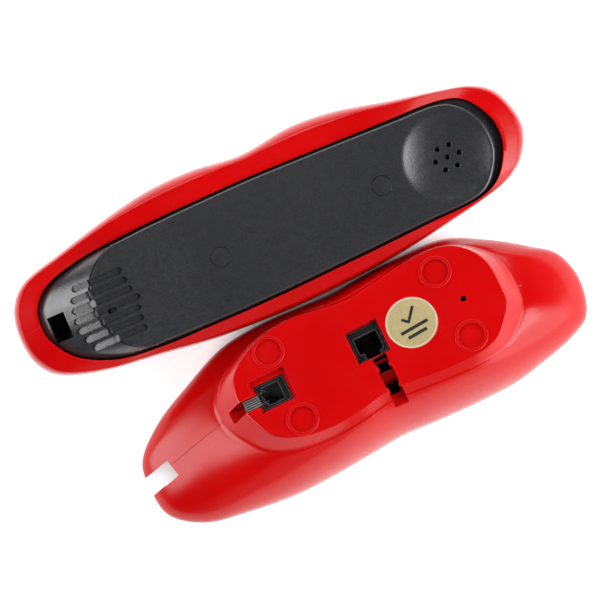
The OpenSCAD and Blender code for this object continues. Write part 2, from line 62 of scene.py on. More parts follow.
# The base: its tilted platform, the walls below it and what is cut into it
TILT = math.radians(17)
PLATFORM_Y, PLATFORM_Z = 14.6, 41.0
WALL = 2.6
ROOF = 3.0
BACK_WALL, END_WALL = 2.5, 13.0
PEDESTAL_SPREAD = 0.25
SLOPE_SHARE = 0.4
WIDE_Z, WIDE_TIP_Z = 13.0, 9.0
TIP_X = 97.0
CHANNEL_DEPTH, CHANNEL_WIDTH = 7.0, 6.0
TROUGH_WALL, TROUGH_LOW = 1.8, -8.8
CHANNEL_X, SIDE_CHANNEL_Y = 9.4, 13.8
LEFT_JACK = (-34.5, 14.4)
LINE_JACK = (7.85, 16.0)
SOUND_HOLE, SOUND_HOLE_RADIUS = (49.4, 14.5), 1.3
NOTCH_AT, NOTCH_WIDTH = (-84.3, 4.0, 0.0), 7.5
NOTCH_TURN = math.radians(13.5)
FOOT_SPOTS = ((-29.3, 29.3), (-28.5, -0.4), (44.2, 28.8), (45.8, 0.0))
POST_SPOTS = ((-60.0, 6.0), (73.0, 6.0), (44.0, 28.5), (-34.0, 28.5))
POST_TOPS = (27.2, 28.2, 34.6, 34.6)
STICKER_AT = (26.9, 14.9)

# The handset: its shell, and the black cover with a ridge at the microphone end
RIM_Z = 34.0
BULGE_Z = 19.0
CREASE_DROP, CREASE_REACH = 2.0, 7.5
PAD_Z = RIM_Z + 2.0
FLANGE_Z = RIM_Z - 3.0
COVER_LOW_Z = RIM_Z - 5.0
COVER_SKIN = 2.2
RIDGE_RISE = 6.0
RIDGE_LIP = 0.75
RIDGE_START, RIDGE_END = -34.0, -75.6
EAR = (76.3, -2.0)
DISH_RADIUS, DISH_DEPTH = 18.2, 3.5
MIC = (-69.9, -6.4)
SCREW_SPOTS = ((-22.1, -3.6), (47.8, -2.4))
SCREW_HOLE_RADIUS = 1.45
HANDSET_SOCKET = (-91.95, -4.6)
GROOVE_Y, GROOVE_PITCH = -5.15, 4.1
# The left and right ends of the grille's grooves, from the front one to the back one
GROOVES = ((-83.2, -59.4), (-85.1, -59.1), (-86.4, -58.6), (-86.1, -57.3), (-85.3, -58.9), (-84.1, -59.6),
           (-81.8, -60.1))

# The modular jacks
JACK_FLOOR = 1.4
CONTACT_PITCH = 1.02

# The keypad cover in the mouth of the base, the keys and the hook
COVER_TOP = 11.2
FLANGE_REST = COVER_TOP + 0.3
KEYPAD_AT = (0.0, 7.0)
KEY_PITCH = (13.5, 10.5)
KEY_SIZE, KEY_FLANGE = (10.0, 7.5), (2.2, 2.0)
KEY_LOW = 4.6
SIDE_KEY_X = 29.0
PLUNGER_AT = (50.0, 5.0)
PLUNGER_LOW, PLUNGER_HIGH = 1.4, 23.0

# Strokes of the key markings, right and up on the key's face; a nine is a six turned round
SIX = [(0.7, 1.6), (-0.5, 0.8), (-1, -0.4), (-0.8, -1.3), (0, -1.6), (0.8, -1.3), (1, -0.6), (0.6, 0.1),
       (-0.2, 0.2), (-0.9, -0.3)]
KEY_MARKS = {
    "key_1": [[(-0.6, 1.0), (0.2, 1.6), (0.2, -1.6)]],
    "key_2": [[(-1, 1.0), (-0.5, 1.6), (0.5, 1.6), (1, 1.0), (1, 0.5), (-1, -1.6), (1, -1.6)]],
    "key_3": [[(-1, 1.6), (0.9, 1.6), (0, 0.4), (0.7, 0.1), (1, -0.6), (0.5, -1.5), (-0.4, -1.6),
               (-1, -1.2)]],
    "key_4": [[(0.5, -1.6), (0.5, 1.6), (-1, -0.7), (1.1, -0.7)]],
    "key_5": [[(0.9, 1.6), (-0.8, 1.6), (-0.9, 0.3), (0.3, 0.4), (1, -0.3), (0.9, -1.1), (0.3, -1.6),
               (-0.9, -1.5)]],
    "key_6": [SIX],
    "key_7": [[(-1, 1.6), (1, 1.6), (-0.2, -1.6)]],
    "key_8": [[(0, 0.1), (-0.8, 0.6), (-0.8, 1.2), (0, 1.6), (0.8, 1.2), (0.8, 0.6), (0, 0.1)],
              [(0, 0.1), (-1, -0.5), (-0.9, -1.2), (0, -1.6), (0.9, -1.2), (1, -0.5), (0, 0.1)]],
    "key_9": [[(-u, -v) for u, v in SIX]],
    "key_star": [[(0, 1.1), (0, -1.1)], [(-0.95, 0.55), (0.95, -0.55)], [(-0.95, -0.55), (0.95, 0.55)]],
    "key_0": [[(0, 1.6), (-0.8, 1.2), (-1, 0), (-0.8, -1.2), (0, -1.6), (0.8, -1.2), (1, 0), (0.8, 1.2),
               (0, 1.6)]],
    "key_hash": [[(-0.4, 1.3), (-0.4, -1.3)], [(0.4, 1.3), (0.4, -1.3)],
                 [(-1.1, 0.45), (1.1, 0.45)], [(-1.1, -0.45), (1.1, -0.45)]],
    "key_redial": [[(-1.1, 1), (-0.1, 0), (-1.1, -1)], [(0.1, 1), (1.1, 0), (0.1, -1)]],
    "key_flash": [[(0.4, 1.6), (-0.7, -0.2), (0.6, -0.2), (-0.4, -1.6)]],
}

# Outlines from the right tip to the left tip: x, y of the front, y of the back
BASE_EDGE = (
    (96.4, 0.5, 0.5), (93, 13.3, -13.2), (84, 21.1, -19), (70, 30.9, -22.9), (53, 39.3, -26),
    (33, 40.6, -26.3), (18, 40.2, -25.8), (4, 39.2, -25.1), (-10, 39.8, -26.2), (-28, 40.6, -27.5),
    (-46, 38.8, -27.7), (-65, 31.2, -25.5), (-82, 22.8, -22.1), (-94.5, 12, -13), (-96.8, 0, 0),
)
PLATFORM_EDGE = (
    (64.6, 14.5, 14.5), (64, 23.5, 6.5), (60.5, 30.3, 0.8), (54, 35.6, -5.2), (45, 37.6, -7.3),
    (31, 37.1, -7.1), (18, 35, -5.8), (6, 34.1, -5.1), (-6, 36, -7.1), (-18.5, 37.3, -8),
    (-31, 35.3, -6.3), (-41, 30.6, -1.3), (-46, 25.8, 7.4), (-47.9, 20.5, 13.5), (-48, 17, 17),
)
HANDSET_EDGE = (
    (109.6, 0, 0), (105.5, 14.2, -11.5), (97, 20.9, -18.8), (84, 24.3, -22.9), (64, 28.2, -26.9),
    (42, 32.9, -30.3), (23, 34.1, -32.1), (1, 31.3, -33.3), (-21, 33.3, -33.2), (-41, 32.4, -32.3),
    (-61, 28.4, -29.8), (-82, 22.9, -27.4), (-99, 17.9, -22.6), (-107, 9.3, -14.5), (-109.3, -3, -3),
)
OPENING_EDGE = (
    (99.4, -0.5, -0.5), (97.6, 7.8, -8.5), (91, 16.8, -18), (80, 20.2, -22.4), (60, 20.7, -23.3),
    (40, 21, -24.5), (22, 21.3, -25.4), (0, 21.5, -26.5), (-20, 21, -27.1), (-38, 20.5, -27.2),
    (-56, 19.4, -27.2), (-75, 17.3, -25.2), (-90, 13.2, -18.3), (-97.3, 6.3, -8.8), (-98.9, -1.5, -1.5),
)
PAD_EDGE = (
    (95.2, -1.2, -1.2), (93.6, 7.2, -9.2), (87.5, 15.4, -18), (79, 19, -21.4), (60, 19.4, -22.3),
    (40, 19.9, -23.4), (22, 20.2, -24.3), (0, 20.4, -25.4), (-20, 19.9, -26), (-36, 19.3, -26.1),
    (-50, 18.5, -26), (-63, 16.6, -24.9), (-71, 10.6, -19.2), (-75, 3.5, -9), (-75.6, -2.8, -2.8),
)


# ---- small helpers
def mix(a, b, t):
    return a + (b - a) * t


def ease(t):
    """A soft step from 0 to 1 while t runs from 0 to 1."""
    return (1 - math.cos(math.pi * min(1.0, max(0.0, t)))) / 2


def unit(v):
    return v / np.maximum(np.linalg.norm(v, axis=-1, keepdims=True), 1e-4)


def loop(rows, steps=12):
    """A closed Catmull-Rom loop through an outline's points, counter-clockwise from the right tip."""
    front = [(r[0], r[1]) for r in rows]
    back = [(r[0], r[2]) for r in rows[-2:0:-1]]
    p = np.array(front + back, float)
    n = len(p)
    out = []
    for i in range(n):
        a, b, c, d = p[i - 1], p[i], p[(i + 1) % n], p[(i + 2) % n]
        for j in range(steps):
            t = j / steps
            out.append(0.5 * (2 * b + (c - a) * t + (2 * a - 5 * b + 4 * c - d) * t * t
                              + (3 * b - a - 3 * c + d) * t ** 3))
    return np.array(out)


def inset(ring, d):
    """The loop moved inwards by d."""
    t = np.roll(ring, -1, axis=0) - np.roll(ring, 1, axis=0)
    return ring + d * unit(np.stack([-t[:, 1], t[:, 0]], axis=1))


def lift(ring, z):
    """The loop in space, at one height or at a height for each point."""
    return np.column_stack([ring, np.broadcast_to(z, len(ring))])


def in_base():
    return Matrix.Translation(Vector(BASE_AT) * MM)


def in_handset():
    return Matrix.Translation(Vector(HANDSET_AT) * MM) @ Matrix.Rotation(HANDSET_TURN, 4, "Z")


def on_platform(x, y):
    """A spot on the tilted platform, with +Z along its outward normal."""
    local = Vector((x, (y - PLATFORM_Y) / math.cos(TILT), 0)) * MM
    corner = Matrix.Translation(Vector((0, PLATFORM_Y, PLATFORM_Z)) * MM)
    return in_base() @ corner @ Matrix.Rotation(-TILT, 4, "X") @ Matrix.Translation(local)


def add_object(name, mesh):
    obj = bpy.data.objects.new(name, mesh)
    bpy.context.scene.collection.objects.link(obj)
    return obj


def from_rings(name, rings, place, strips=False):
    """A closed mesh through stacked loops in millimetres; its ends are flat or made of strips."""
    n = len(rings[0])
    verts = [tuple(c * MM for c in p) for r in rings for p in r]
    faces = [
        (i * n + (j + 1) % n, i * n + j, i * n + n + j, i * n + n + (j + 1) % n)
        for i in range(len(rings) - 1)
        for j in range(n)
    ]
    end = [tuple(range(n))]
    if strips:
        end = [tuple(dict.fromkeys((i, i + 1, n - 1 - i, (n - i) % n))) for i in range(n // 2)]
        end = [face for face in end if len(face) > 2]
    far = (len(rings) - 1) * n
    faces += end
    faces += [tuple(far + j for j in reversed(face)) for face in end]
    mesh = bpy.data.meshes.new(name)
    mesh.from_pydata(verts, [], faces)
    mesh.transform(place)
    mesh.update()
    return add_object(name, mesh)


def bevelled(bm, width, segments, edges=None):
    """Rounds the given edges of a mesh in the making, or all of them."""
    bmesh.ops.bevel(bm, geom=list(edges or bm.edges), offset=width * MM, segments=segments,
                    profile=0.5, affect="EDGES", clamp_overlap=True)


def block(name, size, low, place, round_z=0.0, round_all=0.0, centre=(0.0, 0.0)):
    """A box in millimetres whose upright edges, or all edges, are rounded."""
    bm = bmesh.new()
    bmesh.ops.create_cube(bm, size=1)
    for v in bm.verts:
        v.co = Vector((v.co.x * size[0] + centre[0], v.co.y * size[1] + centre[1],
                       (v.co.z + 0.5) * size[2] + low)) * MM
    if round_z:
        upright = [e for e in bm.edges if abs(e.verts[0].co.z - e.verts[1].co.z) > 1e-6]
        bevelled(bm, round_z, 4, upright)
    if round_all:
        bevelled(bm, round_all, 3)
    return from_bmesh(name, bm, place)


def from_bmesh(name, bm, place):
    """Moves a mesh in the making to its place and makes it an object."""
    mesh = bpy.data.meshes.new(name)
    bm.transform(place)
    bmesh.ops.recalc_face_normals(bm, faces=bm.faces)
    bm.to_mesh(mesh)
    bm.free()
    return add_object(name, mesh)


def lathe(name, profile, place, sides=64, centre=(0.0, 0.0)):
    """A solid turned from (radius, height) points that end on the axis, or where they start."""
    bm = bmesh.new()
    rows = []
    for r, z in profile:
        if r < 1e-6:
            rows.append([bm.verts.new((centre[0] * MM, centre[1] * MM, z * MM))])
        else:
            rows.append([
                bm.verts.new(((centre[0] + r * math.cos(math.tau * k / sides)) * MM,
                              (centre[1] + r * math.sin(math.tau * k / sides)) * MM, z * MM))
                for k in range(sides)])
    for a, b in zip(rows, rows[1:]):
        for k in range(sides):
            corners = [a[k % len(a)], a[(k + 1) % len(a)], b[(k + 1) % len(b)], b[k % len(b)]]
            bm.faces.new(list(dict.fromkeys(corners)))
    return from_bmesh(name, bm, place)


def drum(name, radius, low, high, place, edge=0.0, sides=64, centre=(0.0, 0.0)):
    """A round disc or post whose rims are rounded by edge."""
    profile = [(0, low), (radius - edge, low), (radius - 0.3 * edge, low + 0.3 * edge),
               (radius, low + edge), (radius, high - edge), (radius - 0.3 * edge, high - 0.3 * edge),
               (radius - edge, high), (0, high)]
    if not edge:
        profile = [(0, low), (radius, low), (radius, high), (0, high)]
    return lathe(name, profile, place, sides, centre)


def height_under(tree, place, x, y):
    """The height, in the place's millimetres, of the surface straight below x, y."""
    start = place @ (Vector((x, y, 70)) * MM)
    hit = tree.ray_cast(start, (place.to_3x3() @ Vector((0, 0, -1))).normalized())[0]
    return (place.inverted() @ hit).z / MM if hit else None


def strip_mesh(bm, rows, place):
    """A closed strip through rows of four corners each."""
    for r, q in zip(rows, rows[1:]):
        for i in range(4):
            bm.faces.new((r[i], r[(i + 1) % 4], q[(i + 1) % 4], q[i]))
    bm.faces.new(rows[0])
    bm.faces.new(rows[-1][::-1])
    return from_bmesh("c", bm, place)


def surface_slit(tree, place, start, end, width, depth, pieces=40):
    """A cutter that follows the surface along a line, sunk an even depth below it."""
    a, b = np.array(start, float), np.array(end, float)
    side = np.array([-(b - a)[1], (b - a)[0]]) / np.linalg.norm(b - a) * width / 2
    bm = bmesh.new()
    rows = []
    for i in range(pieces + 1):
        c = mix(a, b, i / pieces)
        z = height_under(tree, place, *c)
        if z is None:
            continue
        rows.append([bm.verts.new(Vector((*(c + k * side), h)) * MM)
                     for k, h in ((-1, z - depth), (1, z - depth), (1, z + 3), (-1, z + 3))])
    return strip_mesh(bm, rows, place)


def tree_of(obj):
    """A search tree of the object's faces."""
    return BVHTree.FromObject(obj, bpy.context.evaluated_depsgraph_get())


def finish(obj, name, body, replaces, slot, bevel=0.0, angle=32, bevel_angle=40):
    """Rounds, smooths, paints and registers a finished piece."""
    if not any(obj.data.materials):
        paint(obj, slot)
    if bevel:
        clean_edges(obj, bevel, bevel_angle)
    smooth(obj, angle)
    obj.name = name
    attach(obj, body)
    if replaces:
        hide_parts(*replaces)


def wire(name, points, radius, place):
    """A bent round wire through points in millimetres."""
    curve = bpy.data.curves.new(name, "CURVE")
    curve.dimensions = "3D"
    curve.bevel_depth = radius * MM
    curve.bevel_resolution = 2
    curve.use_fill_caps = True
    spline = curve.splines.new("POLY")
    spline.points.add(len(points) - 1)
    for point, at in zip(spline.points, points):
        point.co = (*(Vector(at) * MM), 1)
    obj = add_object(name, curve)
    mesh = bpy.data.meshes.new_from_object(obj.evaluated_get(bpy.context.evaluated_depsgraph_get()))
    bpy.data.objects.remove(obj)
    bm = bmesh.new()
    bm.from_mesh(mesh)
    bpy.data.meshes.remove(mesh)
    return from_bmesh(name, bm, place)


def apply_modifiers(obj):
    """Replaces the object's mesh by the result of its modifiers."""
    graph = bpy.context.evaluated_depsgraph_get()
    mesh = bpy.data.meshes.new_from_object(obj.evaluated_get(graph))
    obj.modifiers.clear()
    old = obj.data
    obj.data = mesh
    bpy.data.meshes.remove(old)


def combine(obj, others, operation):
    """Cuts others from obj, or joins them to it, and removes them."""
    for other in others:
        m = obj.modifiers.new(operation, "BOOLEAN")
        m.operation = operation
        m.solver = "MANIFOLD"
        m.object = other
    apply_modifiers(obj)
    for other in others:
        bpy.data.objects.remove(other)


def smooth(obj, angle):
    """Sets each corner's normal from the faces around it that turn by less than angle."""
    mesh = obj.data
    mesh.shade_smooth()
    faces, corners = len(mesh.polygons), len(mesh.loops)
    normal, area, total = np.empty(faces * 3), np.empty(faces), np.empty(faces, int)
    vertex = np.empty(corners, int)
    mesh.polygons.foreach_get("normal", normal)
    mesh.polygons.foreach_get("area", area)
    mesh.polygons.foreach_get("loop_total", total)
    mesh.loops.foreach_get("vertex_index", vertex)
    face = np.repeat(np.arange(faces), total)
    normal = normal.reshape(-1, 3)
    order = np.argsort(vertex, kind="stable")
    _, start, count = np.unique(vertex[order], return_index=True, return_counts=True)
    at = np.repeat(start, count)
    size = np.repeat(count, count)
    here = np.repeat(order, size)
    step = np.arange(size.sum()) - np.repeat(np.cumsum(size) - size, size)
    there = order[np.repeat(at, size) + step]
    alike = np.einsum("ij,ij->i", normal[face[here]], normal[face[there]])
    weight = np.sqrt(area[face[there]]) * (alike > math.cos(math.radians(angle)))
    out = np.zeros((corners, 3))
    for axis in range(3):
        out[:, axis] = np.bincount(here, weight * normal[face[there], axis], corners)
    out /= np.maximum(np.linalg.norm(out, axis=1, keepdims=True), 1e-12)
    mesh.normals_split_custom_set(out.tolist())


def clean_edges(obj, width, angle=50):
    """Rounds only the sharp edges that the cuts left."""
    m = obj.modifiers.new("edges", "BEVEL")
    m.width = width * MM
    m.segments = 2
    m.limit_method = "ANGLE"
    m.angle_limit = math.radians(angle)
    m.use_clamp_overlap = True
    apply_modifiers(obj)


def join(objs):
    """Joins objs into the first one, keeping each one's material."""
    bpy.ops.object.select_all(action="DESELECT")
    for o in objs:
        o.select_set(True)
    bpy.context.view_layer.objects.active = objs[0]
    bpy.ops.object.join()
    return objs[0]


# ---- materials
MATERIALS = {}


class Nodes:
    """Builds one material's node tree."""

    def __init__(self, name):
        self.mat = bpy.data.materials.new(name)
        self.mat.use_nodes = True
        self.tree = self.mat.node_tree
        self.bsdf = self.tree.nodes["Principled BSDF"]
        self.place = self.add("ShaderNodeTexCoord").outputs["Object"]
        MATERIALS[name] = self.mat

    def add(self, kind, **values):
        node = self.tree.nodes.new(kind)
        for key, value in values.items():
            setattr(node, key, value)
        return node

    def link(self, a, b):
        self.tree.links.new(a, b)

    def set(self, **values):
        for key, value in values.items():
            self.bsdf.inputs[key.replace("_", " ")].default_value = value

    def noise(self, scale, detail=4.0, rough=0.55, squeeze=None):
        place = self.place
        if squeeze:
            m = self.add("ShaderNodeMapping")
            m.inputs["Scale"].default_value = squeeze
            self.link(place, m.inputs["Vector"])
            place = m.outputs["Vector"]
        n = self.add("ShaderNodeTexNoise")
        n.inputs["Scale"].default_value = scale
        n.inputs["Detail"].default_value = detail
        n.inputs["Roughness"].default_value = rough
        self.link(place, n.inputs["Vector"])
        return n.outputs["Fac"]

    def cells(self, scale):
        n = self.add("ShaderNodeTexVoronoi")
        n.inputs["Scale"].default_value = scale
        self.link(self.place, n.inputs["Vector"])
        return n.outputs["Distance"]

    def ramp(self, fac, stops):
        """Colours along a value, as (position, colour) stops."""
        r = self.add("ShaderNodeValToRGB")
        e = r.color_ramp.elements
        while len(e) < len(stops):
            e.new(0.5)
        for el, (at, colour) in zip(e, stops):
            el.position = at
            el.color = (*colour, 1)
        self.link(fac, r.inputs["Fac"])
        return r.outputs["Color"]

    def span(self, fac, low, high, start=0.35, end=0.65):
        """Maps a value from start..end to low..high."""
        m = self.add("ShaderNodeMapRange")
        m.inputs["From Min"].default_value = start
        m.inputs["From Max"].default_value = end
        m.inputs["To Min"].default_value = low
        m.inputs["To Max"].default_value = high
        self.link(fac, m.inputs["Value"])
        return m.outputs["Result"]

    def bump(self, height, strength, distance, below=None):
        """A bump of the given depth in millimetres, on top of another one."""
        b = self.add("ShaderNodeBump")
        b.inputs["Strength"].default_value = strength
        b.inputs["Distance"].default_value = distance * MM
        self.link(height, b.inputs["Height"])
        if below is not None:
            self.link(below, b.inputs["Normal"])
        return b.outputs["Normal"]

    def wear_and_painted_sheen(self, colour, wear_and_sheen_colour, width=0.35):
        """Blends towards a lighter colour along sharp edges, convex and concave alike: partly wear, partly a
        painted highlight.
        """
        bevel = self.add("ShaderNodeBevel", samples=4)
        bevel.inputs["Radius"].default_value = width * MM
        dot = self.add("ShaderNodeVectorMath", operation="DOT_PRODUCT")
        self.link(bevel.outputs["Normal"], dot.inputs[0])
        self.link(self.add("ShaderNodeNewGeometry").outputs["Normal"], dot.inputs[1])
        m = self.add("ShaderNodeMix", data_type="RGBA")
        self.link(self.span(dot.outputs["Value"], 0.6, 0, 0.90, 0.99), m.inputs["Factor"])
        self.link(colour, m.inputs["A"])
        m.inputs["B"].default_value = (*wear_and_sheen_colour, 1)
        return m.outputs["Result"]


def moulded(name, low, high, rough, grain, depth, edge=None, peel=0.0, **extra):
    """Moulded plastic: cloudy colour, a fine grain and slightly uneven gloss."""
    n = Nodes(name)
    colour = n.ramp(n.noise(28, 5), [(0.3, low), (0.7, high)])
    # Sharp edges are painted lighter: partly wear, partly a painted highlight along the edges.
    if edge:
        colour = n.wear_and_painted_sheen(colour, edge)
    n.link(colour, n.bsdf.inputs["Base Color"])
    n.link(n.span(n.noise(70, 6, 0.6), rough[0], rough[1]), n.bsdf.inputs["Roughness"])
    normal = n.bump(n.noise(grain, 3), 1.0, depth)
    if peel:
        normal = n.bump(n.noise(110, 2), 1.0, peel, normal)
    n.link(normal, n.bsdf.inputs["Normal"])
    n.set(**extra)


def metal(name, low, high, rough, scratch=(1, 12, 1)):
    """Metal with a drawn grain and faint tarnish."""
    n = Nodes(name)
    n.link(n.ramp(n.noise(60, 6), [(0.3, low), (0.7, high)]), n.bsdf.inputs["Base Color"])
    n.link(n.span(n.noise(900, 4, 0.6, scratch), rough[0], rough[1]), n.bsdf.inputs["Roughness"])
    n.link(n.bump(n.noise(1400, 3, 0.6, scratch), 0.6, 0.01), n.bsdf.inputs["Normal"])
    n.set(Metallic=1.0)


def spark_texture(name, low, high, rough):
    """Dark plastic moulded against a spark-eroded tool: a fine even grain."""
    n = Nodes(name)
    cloud = n.ramp(n.noise(16, 4), [(0.3, low), (0.7, high)])
    speck = n.ramp(n.noise(1500, 2, 0.6), [(0.35, (0.78, 0.78, 0.78)), (0.65, (1.20, 1.20, 1.22))])
    m = n.add("ShaderNodeMix", data_type="RGBA", blend_type="MULTIPLY")
    m.inputs["Factor"].default_value = 1.0
    n.link(cloud, m.inputs["A"])
    n.link(speck, m.inputs["B"])
    n.link(m.outputs["Result"], n.bsdf.inputs["Base Color"])
    n.link(n.span(n.noise(300, 5), rough[0], rough[1]), n.bsdf.inputs["Roughness"])
    grain = n.bump(n.noise(1300, 4, 0.75), 1.0, 0.03)
    n.link(n.bump(n.cells(1600), 1.0, 0.022, grain), n.bsdf.inputs["Normal"])
    n.set(Specular_IOR_Level=0.8)


def paper_gold(name):
    """Metallic paper with fine fibres."""
    n = Nodes(name)
    fibre = n.ramp(n.noise(900, 5, 0.7), [(0.3, (0.46, 0.37, 0.17)), (0.7, (0.56, 0.46, 0.23))])
    n.link(fibre, n.bsdf.inputs["Base Color"])
    n.link(n.span(n.noise(400, 4), 0.34, 0.5), n.bsdf.inputs["Roughness"])
    n.link(n.bump(n.noise(1200, 4), 0.7, 0.01), n.bsdf.inputs["Normal"])
    n.set(Metallic=0.25)


def board(name, low, high):
    """A circuit board whose glass weave shows through."""
    n = Nodes(name)
    weave = n.noise(1300, 2, 0.5, (1, 3, 1))
    n.link(n.ramp(weave, [(0.35, low), (0.65, high)]), n.bsdf.inputs["Base Color"])
    n.link(n.span(n.noise(200, 3), 0.3, 0.45), n.bsdf.inputs["Roughness"])
    n.link(n.bump(weave, 0.6, 0.02), n.bsdf.inputs["Normal"])


def make_materials():
    """One material for each of the record's slots, and a few for small pieces."""
    # Each edge colour is a lighter tone for sharp edges: partly wear, partly a painted highlight.
    moulded("red_plastic", (0.52, 0.0008, 0.0014), (0.58, 0.0014, 0.0020), (0.20, 0.28), 420, 0.003,
            edge=(0.85, 0.04, 0.04), peel=0.006, Specular_IOR_Level=0.26, Coat_Weight=0.14,
            Coat_Roughness=0.09)
    spark_texture("black_cover", (0.024, 0.0245, 0.0275), (0.031, 0.0315, 0.0350), (0.24, 0.31))
    moulded("jack_black", (0.010, 0.010, 0.011), (0.017, 0.017, 0.018), (0.16, 0.26), 1500, 0.01,
            edge=(0.34, 0.35, 0.36))
    moulded("component_black", (0.012, 0.012, 0.013), (0.024, 0.024, 0.026), (0.4, 0.55), 1800, 0.015,
            edge=(0.06, 0.06, 0.06))
    moulded("black_rubber", (0.012, 0.012, 0.012), (0.022, 0.022, 0.022), (0.65, 0.8), 900, 0.03)
    moulded("mat_rubber", (0.52, 0.53, 0.51), (0.62, 0.63, 0.61), (0.6, 0.75), 900, 0.02,
            Subsurface_Weight=0.05)
    moulded("white_plastic", (0.66, 0.66, 0.63), (0.76, 0.76, 0.73), (0.3, 0.42), 900, 0.01,
            edge=(0.85, 0.85, 0.82))
    moulded("key_plastic", (0.72, 0.71, 0.67), (0.80, 0.79, 0.75), (0.22, 0.32), 700, 0.008,
            edge=(0.88, 0.87, 0.84), peel=0.01)
    moulded("ink", (0.010, 0.010, 0.012), (0.022, 0.022, 0.026), (0.35, 0.5), 2200, 0.006)
    moulded("sticker_rim", (0.62, 0.47, 0.36), (0.72, 0.57, 0.44), (0.35, 0.5), 1200, 0.006)
    moulded("clip_grey", (0.16, 0.16, 0.165), (0.24, 0.24, 0.25), (0.3, 0.42), 1500, 0.01,
            edge=(0.45, 0.45, 0.46))
    metal("screw_steel", (0.50, 0.50, 0.52), (0.64, 0.64, 0.66), (0.22, 0.38))
    metal("weight_steel", (0.34, 0.35, 0.37), (0.46, 0.47, 0.49), (0.35, 0.55))
    metal("capsule_aluminium", (0.66, 0.66, 0.67), (0.78, 0.78, 0.79), (0.2, 0.32), (12, 1, 1))
    metal("contact_gold", (0.72, 0.50, 0.18), (0.86, 0.64, 0.28), (0.16, 0.3))
    metal("disc_brass", (0.62, 0.45, 0.20), (0.76, 0.58, 0.29), (0.28, 0.42))
    paper_gold("sticker_gold")
    board("board_green", (0.012, 0.10, 0.035), (0.022, 0.15, 0.055))
    board("board_brown", (0.22, 0.12, 0.045), (0.30, 0.17, 0.07))


def paint(obj, name):
    obj.data.materials.clear()
    obj.data.materials.append(MATERIALS[name])
    return obj


# ---- camera, light and floor
def make_camera():
    """Straight above the telephone, turned so that both halves lie across the picture."""
    turn = math.radians(26)
    right = Vector((math.cos(turn), -math.sin(turn), 0))
    up = Vector((math.sin(turn), math.cos(turn), 0))
    aim = Vector((-1.7, 2.1, 19.0)) * MM
    width, distance = 0.241, 1.5
    camera = bpy.data.cameras.new("camera")
    camera.sensor_width = 36
    camera.lens = 36 * distance / width
    obj = bpy.data.objects.new("camera", camera)
    back = right.cross(up)
    spin = Matrix((right, up, back)).transposed().to_4x4()
    obj.matrix_world = Matrix.Translation(aim + back * distance) @ spin
    bpy.context.scene.collection.objects.link(obj)
    bpy.context.scene.camera = obj
    return right, up


def softbox(name, at, size, power):
    """A soft rectangular light that aims at the middle of the telephone."""
    light = bpy.data.lights.new(name, "AREA")
    light.shape = "RECTANGLE"
    light.size, light.size_y = size
    light.energy = power
    obj = bpy.data.objects.new(name, light)
    obj.location = at
    obj.rotation_euler = (Vector((0, 0, 0.02)) - at).to_track_quat("-Z", "Y").to_euler()
    bpy.context.scene.collection.objects.link(obj)


def make_surroundings(lobes, ambient):
    """A dim world with a few broad, soft-edged bright directions."""
    world = bpy.data.worlds.new("studio")
    world.use_nodes = True
    bpy.context.scene.world = world
    nodes, links = world.node_tree.nodes, world.node_tree.links
    place = nodes.new("ShaderNodeTexCoord").outputs["Generated"]
    total = None
    for towards, full_reach, no_reach, strength in lobes:
        dot = nodes.new("ShaderNodeVectorMath")
        dot.operation = "DOT_PRODUCT"
        links.new(place, dot.inputs[0])
        dot.inputs[1].default_value = towards.normalized()
        edge = nodes.new("ShaderNodeMapRange")
        edge.interpolation_type = "SMOOTHERSTEP"
        edge.inputs["From Min"].default_value = math.cos(math.radians(no_reach))
        edge.inputs["From Max"].default_value = math.cos(math.radians(full_reach))
        edge.inputs["To Max"].default_value = strength
        links.new(dot.outputs["Value"], edge.inputs["Value"])
        add = nodes.new("ShaderNodeMath")
        add.inputs[1].default_value = ambient
        if total:
            links.new(total, add.inputs[1])
        links.new(edge.outputs["Result"], add.inputs[0])
        total = add.outputs["Value"]
    nodes["Background"].inputs["Color"].default_value = (1, 1, 1, 1)
    links.new(total, nodes["Background"].inputs["Strength"])


def make_studio(right, up):
    """Broad lights from the picture's right, left and top, and a faint one from its foot."""
    scene = bpy.context.scene
    scene.view_settings.view_transform = "Standard"
    scene.view_settings.look = "None"

    def spot(r, u, h):
        return right * r + up * u + Vector((0, 0, h))

    # Direction, the angles in degrees at which a light starts to fade and has gone, strength
    lobes = (
        (spot(1.0, -0.25, 0.22), 18, 46, 3.5),
        (spot(-1.0, -0.05, 0.46), 8, 30, 6.2),
        (spot(0.15, -1.0, 0.45), 6, 34, 0.5),
    )
    make_surroundings(lobes, 0.03)
    softbox("key", spot(1.30, 0.20, 1.05), (1.2, 0.8), 17.5)
    softbox("top", spot(-0.35, 1.55, 0.75), (2.4, 0.7), 18)


def make_floor():
    """Pale paper that glows a little to stay evenly white, and is painted with shade where something stands
    close over it.
    """
    mesh = bpy.data.meshes.new("floor")
    half = 4
    corners = [(-half, -half, 0), (half, -half, 0), (half, half, 0), (-half, half, 0)]
    mesh.from_pydata(corners, [], [(0, 1, 2, 3)])
    floor = add_object("floor", mesh)
    n = Nodes("floor_paper")
    n.link(n.ramp(n.noise(3, 3), [(0.3, (0.52, 0.52, 0.52)), (0.7, (0.56, 0.56, 0.56))]),
           n.bsdf.inputs["Base Color"])
    n.link(n.bump(n.noise(500, 3), 0.3, 0.05), n.bsdf.inputs["Normal"])
    n.set(Roughness=0.9, Specular_IOR_Level=0.1, Emission_Color=(1, 1, 1, 1))
    # Painted shade: ambient occlusion dims the glow, so the floor darkens in the gap between the halves and
    # under their edges.
    painted_shade_occlusion = n.add("ShaderNodeAmbientOcclusion", samples=16)
    painted_shade_occlusion.inputs["Distance"].default_value = 0.05
    n.link(n.span(painted_shade_occlusion.outputs["AO"], 0.0, 0.8, 0.04, 0.18), n.bsdf.inputs["Emission Strength"])
    mesh.materials.append(n.mat)


# ---- base shell
def platform_height(y, drop=0.0):
    """The platform's height at y, or that of the surface drop below it."""
    return PLATFORM_Z - (y - PLATFORM_Y) * math.tan(TILT) - drop / math.cos(TILT)


